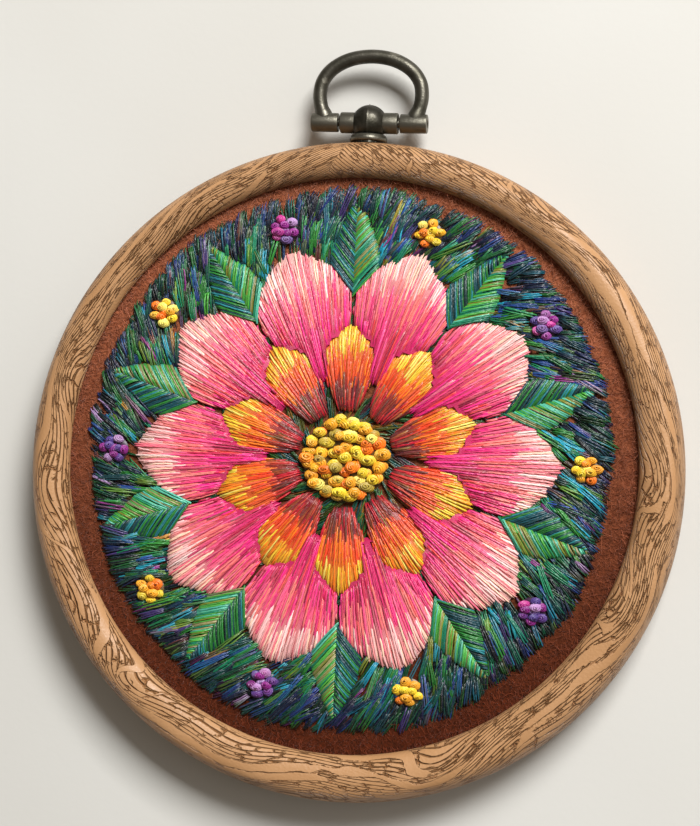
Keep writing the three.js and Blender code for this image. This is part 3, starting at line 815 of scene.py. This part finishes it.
def by_zone(out, palettes):
    """Colours picked from one palette for each of the ground's zones, from the panel's middle outwards."""
    inner, middle, outer = (pick(palette, len(out)) for palette in palettes)
    out = out[:, None]
    return np.where(out < ZONES[0], inner, np.where(out < ZONES[1], middle, outer))


def ground_layer(name, count, low, high, long, dark, filaments, steps, radii=(3.0, PANEL_R - 1.0),
                 hidden=None, only_free=False):
    """Slanting straight stitches over the panel between two heights, each a small bundle of filaments. With
    hidden, stitches that lie further than that inside a motif are left out, because they wouldn't show. With
    only_free, stitches start or end outside the motifs."""
    r = np.sqrt(rng.uniform(radii[0] ** 2, radii[1] ** 2, count))
    a = rng.uniform(0, 2 * math.pi, count)
    slant = 0.5 + 0.22 * np.sin(3 * a) + rng.normal(0, 0.16, count)
    middle = np.stack([r * np.cos(a), r * np.sin(a)], 1)
    heading = a - slant
    step = np.stack([np.cos(heading), np.sin(heading)], 1) * rng.uniform(*long, count)[:, None] / 2
    starts, ends = middle - step, middle + step
    over = np.hypot(*ends.T) - edge_radius(np.arctan2(ends[:, 1], ends[:, 0])) + rng.uniform(0, 0.7, count)
    ends -= unit(step) * np.clip(over, 0, None)[:, None] * 1.15
    keep = np.linalg.norm(ends - starts, axis=1) > 1.2
    mid = (starts + ends) / 2
    if hidden is not None:
        keep &= outside_motifs(mid, -hidden)
    if only_free:
        inner, outer = outside_motifs(starts), outside_motifs(ends)
        keep &= outside_motifs(mid) & (inner | outer)
        # A stitch that would end inside a motif stops near its middle instead.
        starts = np.where(inner[:, None], starts, mid - (mid - starts) * 0.4)
        ends = np.where(outer[:, None], ends, mid + (ends - mid) * 0.4)
    starts, ends, r = starts[keep], ends[keep], r[keep]
    n = len(starts)
    out = r + rng.normal(0, 1.6, n)
    tone = by_zone(out, (GROUND_IN, GROUND_MID, GROUND_OUT))
    other = by_zone(out, (GROUND_MID, GROUND_IN, GROUND_MID))
    layer = rng.uniform(low, high, n)
    # The filaments of a stitch lie side by side, share its colour and part a little at its ends.
    across = sideways(starts, ends)
    places = (np.arange(filaments) - (filaments - 1) / 2) * FILAMENT_PITCH
    shift = np.tile(places, n)[:, None]
    n *= filaments
    spread = rng.normal(0, 0.1, (2, n, 1))
    starts, ends, across = (np.repeat(v, filaments, axis=0) for v in (starts, ends, across))
    starts = starts + across * (shift * 0.7 + spread[0])
    ends = ends + across * (shift + spread[1])
    # The filaments of a stitch aren't equally long.
    along = ends - starts
    starts = starts - along * rng.normal(0, 0.04, (n, 1))
    ends = ends + along * rng.normal(0, 0.04, (n, 1))
    tone, other, layer = (np.repeat(v, filaments, axis=0) for v in (tone, other, layer))
    layer = (layer + rng.normal(0, 0.03, n) - 0.35 * np.abs(shift[:, 0]))[:, None]
    # The stitching darkens toward the foot of the panel.
    foot = np.interp(starts[:, 1], [-38, -14], [0.6, 1])[:, None]
    tone = tone * rng.uniform(0.75, 1.25, (n, 1)) * dark * foot
    paths = strand_paths(starts, ends, lambda x, y: np.full_like(x, STITCH_Z), steps, bow=0.06, dip=0.0)
    s = np.linspace(0, 1, steps)
    paths[..., 2] += layer - (layer + 0.3) * near_end(starts, ends, s)
    thick = rng.uniform(0.115, 0.155, n)[:, None] * (0.4 + 0.6 * np.sin(math.pi * s) ** 0.4)[None]
    mix = (0.85 * rng.random((n, 1, 1)) ** 1.5) * s[None, :, None]
    tints = tone[:, None] * (1 - mix) + other[:, None] * dark * mix
    thread_piece(name, paths, thick, tints, "stitched_ground", "thread_ground", sides=4)


def ground():
    """A dark first layer under everything, shorter stitches along the edge, and brighter bundles between the
    motifs."""
    # The lower layers are darkened further than the top one, as painted shade under the stitches above them.
    ground_layer("ground_under_threads", 1700, 0.02, 0.12, (4.5, 7.5), 0.3, 3, steps=5, hidden=1.7)
    ground_layer("ground_edge_threads", 900, 0.05, 0.3, (2.6, 5.0), 0.4, 3, steps=6,
                 radii=(PANEL_R - 4.5, PANEL_R - 0.5))
    ground_layer("ground_threads", 3300, 0.18, 0.7, (4.0, 7.4), 0.9, 4, steps=6, radii=(14, PANEL_R - 1.0),
                 only_free=True)


def knot_paths(spots, size, steps):
    """French knots: a thread wound round and up over a small dome, each dome leaning its own way."""
    n = len(spots)
    s = np.linspace(0, 1, steps)[None]
    turns = rng.uniform(3.8, 4.4, (n, 1))
    a = rng.uniform(0, 2 * math.pi, (n, 1)) + s * 2 * math.pi * turns
    rise = -0.35 + 1.9 * s
    r = size * 0.62 * np.cos(rise) * (1 + rng.normal(0, 0.05, a.shape))
    long = rng.uniform(1.0, 1.35, (n, 1))
    x, y, z = r * np.cos(a) * long, r * np.sin(a) / long, size * (0.28 + 0.52 * np.sin(rise))
    lean, towards = rng.normal(0, 0.3, n)[:, None], rng.uniform(0, math.pi, n)[:, None]
    c, k = np.cos(towards), np.sin(towards)
    over, up = x * c + y * k, z - 0.28 * size
    slip = over * (np.cos(lean) - 1) + up * np.sin(lean)
    z = z + up * (np.cos(lean) - 1) - over * np.sin(lean)
    return np.stack([x + slip * c + spots[:, :1], y + slip * k + spots[:, 1:2], z + spots[:, 2:3]], -1)


def knot_base(radius, at, turned_by, palette):
    """The bed of short stitches under a group of knots."""
    rings, columns = np.linspace(0.05, radius, 5), 30
    a = np.arange(columns) * 2 * math.pi / columns
    r, a = np.meshgrid(rings, a, indexing="ij")
    z = np.where(r < radius, STITCH_Z + 0.3, STITCH_Z + 0.02)
    points = np.stack([r * np.cos(a), r * np.sin(a) + at, z], -1)
    faces = grid_faces(len(rings), columns, close_columns=True)
    points = turn(points.reshape(-1, 3), turned_by)
    # Its colour is the palette's mean darkened to about an eighth, as painted shade in the gaps between the
    # knots.
    return points, faces, np.full(len(points), 0.5), blend(palette) * 0.12


def knots(name, node, spots, palette, slot, size, under):
    n, steps = len(spots), 42
    size = size * rng.uniform(0.85, 1.15, (n, 1))
    paths = knot_paths(spots, size, steps)
    # The thread's thick end closes the middle of the knot.
    s = np.linspace(0, 1, steps)
    radii = 0.165 * size * rng.uniform(0.9, 1.1, (n, 1)) * (1 + 0.6 * smoothstep(s, 0.93, 1))
    a, b = pick(palette, n), pick(palette, n)
    mix = 0.6 * rng.random((n, 1, 1)) * s[None, :, None]
    tints = a[:, None] * (1 - mix) + b[:, None] * mix
    thread_piece(name, paths, radii, tints, node, slot, sides=4, flat=1.0, under=under, plied=False)


def ring_spots(rings, pitch, z, jitter=0.1):
    spots = []
    for ring, count in enumerate(rings):
        for i in range(count):
            a = 2 * math.pi * (i + 0.5 * (ring % 2)) / count
            d = ring * pitch
            spot = d * math.cos(a) + rng.normal(0, jitter), d * math.sin(a) + rng.normal(0, jitter), z
            spots.append(spot)
    return np.array(spots)


def knot_groups():
    spots = ring_spots([1, 6, 13, 20], 1.82, STITCH_Z + 0.1)
    more = ring_spots([0, 4, 10, 17], 1.74, STITCH_Z + 0.45, 0.22)
    palette = {**WARM_KNOT, "b0963e": 1}
    knots("centre_knot_threads", "centre_knots", np.concatenate([spots, more]), palette, "thread_centre", 1.2,
          knot_base(CENTRE_R - 0.2, 0, 0, palette))
    for i in range(REPEATS):
        spots = ring_spots([1, 6], 1.5, STITCH_Z + 0.1, 0.08)
        more = ring_spots([0, 3], 0.8, STITCH_Z + 0.4, 0.1)
        spots = np.concatenate([spots, more])
        spots[:, 1] += CLUSTER_AT
        angle, palette = (i + 0.5) * TURN, WARM_KNOT if i % 2 else PURPLE_KNOT
        knots(f"knot_cluster_{i:02d}_threads", f"knot_cluster_{i:02d}", turn(spots, angle), palette,
              "thread_knots", 0.98, knot_base(CLUSTER_R - 0.3, CLUSTER_AT, angle, palette))


# Hanger

WIRE_R, BARREL_R, POST_R, BORE_R, PIN_R, BALL_R = 1.03, 1.4, 1.55, 0.62, 0.56, 2.66


def rod_x(r, a, b, sides=40, edge=0.15, bore=0.001):
    """A round bar on the hinge's axis from a to b, with rounded ends, hollow if it has a bore."""
    rounds = [(r - edge * (1 - math.sin(t)), a + edge * (1 - math.cos(t)))
              for t in np.linspace(0, math.pi / 2, 4)]
    far = [(p, a + b - q) for p, q in rounds[::-1]]
    return turned([(bore, a)] + rounds + far + [(bore, b)], sides, along="X", at=PIVOT)


def ball(radius, seam):
    """A ball on the pivot with a thin casting line round it, square to X and raised by seam."""
    rows, columns = 32, 48
    line = math.pi / 2 + np.array([-0.075, -0.045, -0.02, 0.0, 0.02, 0.045, 0.075])
    v = np.sort(np.concatenate([np.linspace(0.0005, math.pi - 0.0005, rows), line]))
    u = np.arange(columns) * 2 * math.pi / columns
    vv, uu = np.meshgrid(v, u, indexing="ij")
    r = radius + seam * np.exp(-(np.cos(vv) / 0.03) ** 2)
    points = np.stack([r * np.cos(vv), r * np.sin(vv) * np.cos(uu), r * np.sin(vv) * np.sin(uu)], -1)
    return points.reshape(-1, 3) + PIVOT, grid_faces(len(v), columns, close_columns=True)[:, ::-1]


def catmull(points, steps):
    """A smooth curve through points, with steps to each span."""
    p = np.asarray(points, float)
    p = np.concatenate([[2 * p[0] - p[1]], p, [2 * p[-1] - p[-2]]])
    t = (np.arange(steps) / steps)[:, None]
    out = []
    for i in range(1, len(p) - 2):
        a, b, c, d = p[i - 1:i + 3]
        cubic = 3 * b - a - 3 * c + d
        out.append(0.5 * (2 * b + (c - a) * t + (2 * a - 5 * b + 4 * c - d) * t ** 2 + cubic * t ** 3))
    return np.concatenate(out + [p[-2:-1]])


def hanger():
    half = [(6.72, 0.7), (7.35, 2.4), (7.6, 4.2), (7.2, 6.2), (5.75, 8.05), (3.2, 9.4)]
    line = catmull(half + [(0, 9.87)] + [(-x, u) for x, u in half[::-1]], 8)
    path = np.stack([line[:, 0], line[:, 1], np.zeros(len(line))], 1) + PIVOT
    radii = np.full(len(path), WIRE_R)
    # The wire's feet spread a little into the barrels.
    foot = np.minimum(line[:, 1], 3.0)
    radii += 0.22 * (1 - smoothstep(foot, 1.0, 2.4))
    wire = tubes(path[None], radii[None], sides=28)
    barrels = [rod_x(BARREL_R, a, b, bore=BORE_R) for a, b in ((-8.6, -4.6), (4.6, 8.6))]
    points, faces = merged([wire] + barrels)
    piece("bail_casting", points, faces, BRONZE, body="bail", slot="bronze", replaces=["bail"])
    points, faces = rod_x(PIN_R, -8.35, 8.35, sides=24, edge=0.1)
    piece("hinge_pin_rod", points, faces, BRONZE, body="bail", slot="bronze", replaces=["hinge_pin"])
    post = [rod_x(POST_R, a, b, bore=BORE_R) for a, b in ((-4.27, -1.2), (1.2, 4.27))]
    neck = turned([(0.001, -5.9), (1.1, -5.9), (1.1, -1.5), (0.001, -1.5)], 32, along="Y", at=PIVOT)
    points, faces = merged([ball(BALL_R, seam=0.09), *post, neck])
    piece("hanger_post_casting", points, faces, BRONZE, slot="bronze", replaces=["hanger_post"])
    base = np.array([0, CENTRE[1] + OUTER_R + GAP, WIDEST_Z])
    cup = [(1.45, 0.0), (2.66, 0.0), (2.75, 0.08), (2.75, 0.42), (2.7, 0.6), (2.58, 0.84), (2.46, 0.95),
           (2.36, 0.94), (2.26, 0.84), (2.0, 0.58), (1.75, 0.36), (1.45, 0.19)]
    points, faces = turned(cup, 64, along="Y", at=base)
    piece("hanger_washer_cup", points, faces, BRONZE, slot="bronze", replaces=["hanger_washer"])


# Floor, light and camera

def floor():
    m = Nodes("pale_table")
    p = m.position()
    soft = m.noise(p, 9.0, 3.0, 0.5)
    fine = m.noise(p, 900.0, 2.0, 0.5)
    color = m.mix(m.range(soft, 0.3, 0.7), "c7c5bf", "cecdc8")
    m.set(color=color, rough=0.7, specular=0.3, normal=m.bump(fine, 0.0001, 0.15))
    mesh = bpy.data.meshes.new("floor")
    half = 4.0  # metres
    corners = [(-half, -half, 0), (half, -half, 0), (half, half, 0), (-half, half, 0)]
    mesh.from_pydata(corners, [], [(0, 1, 2, 3)])
    mesh.materials.append(m.material)
    new_object("floor", mesh)


def area(name, at, size, watts, color):
    """A rectangular lamp at a place in metres, turned to the origin."""
    data = bpy.data.lights.new(name, "AREA")
    data.shape, data.size, data.size_y, data.energy, data.color = "RECTANGLE", size[0], size[1], watts, color
    obj = new_object(name, data)
    obj.location = at
    obj.rotation_mode = "QUATERNION"
    obj.rotation_quaternion = Vector(at).to_track_quat("Z", "Y")


def lights():
    area("window", (0.305, 0.488, 0.645), (0.37, 0.31), 11.3, (1.0, 1.0, 0.995))
    area("fill", (0.9, 0.2, 0.8), (0.7, 0.7), 1.6, (1.0, 0.97, 0.94))
    world = bpy.data.worlds.new("room")
    world.use_nodes = True
    back = world.node_tree.nodes["Background"]
    back.inputs["Color"].default_value = (1.0, 0.88, 0.74, 1.0)
    back.inputs["Strength"].default_value = 0.19
    bpy.context.scene.world = world


# The photograph's width and height in pixels, the hoop's middle in it, and millimetres a pixel there.
WIDE, HIGH = 700, 826
HOOP_X, HOOP_Y = 352.8, 470.6
SCALE = 96.0 / 657.0


def camera():
    """Looks down on the hoop's face from a little below and to the right of its middle, 0.3 m away."""
    distance, tilt, swing, roll = 300.0, math.radians(2.0), math.radians(10.0), math.radians(2.8)
    back = Vector((math.sin(swing), -math.sin(tilt) * math.cos(swing), math.cos(tilt) * math.cos(swing)))
    up = Vector((-math.sin(roll), math.cos(roll), 0))
    right = up.cross(back).normalized()
    up = back.cross(right)
    hoop = Vector((*CENTRE, WIDEST_Z))
    target = hoop + right * (-(HOOP_X - WIDE / 2) * SCALE) + up * ((HOOP_Y - HIGH / 2) * SCALE)
    data = bpy.data.cameras.new("camera")
    data.sensor_width = 36
    data.lens = data.sensor_width * distance / (HIGH * SCALE)
    data.clip_start, data.clip_end = 0.01, 10
    obj = new_object("camera", data)
    turn_to = Matrix((right, up, back)).transposed()
    obj.matrix_world = Matrix.Translation((target + back * distance) * MM) @ turn_to.to_4x4()
    bpy.context.scene.camera = obj


bpy.context.scene.view_settings.view_transform = "Standard"
camera()
lights()
floor()
outer_ring()
inner_ring()
felt_sheet()
felt_fibres()
petals("inner_petal", INNER, [(0.0, 0.36, FIRE_ROOT), (0.28, 0.7, FIRE_MID), (0.58, 1.0, FIRE_TIP)], 0.0,
       0.25, 0.165, "thread_inner", in_knots, in_knots)
petals("outer_petal", OUTER, [(0.1, 0.5, PINK_ROOT), (0.4, 0.76, PINK_MID), (0.66, 1.0, PINK_TIP)], 0.5,
       0.26, 0.17, "thread_outer", lambda x, y: inside_any(x, y, INNER, 0.5, 0.05),
       lambda x, y: inside_any(x, y, INNER, 0.5, -0.45))
leaves()
ground()
knot_groups()
hanger()
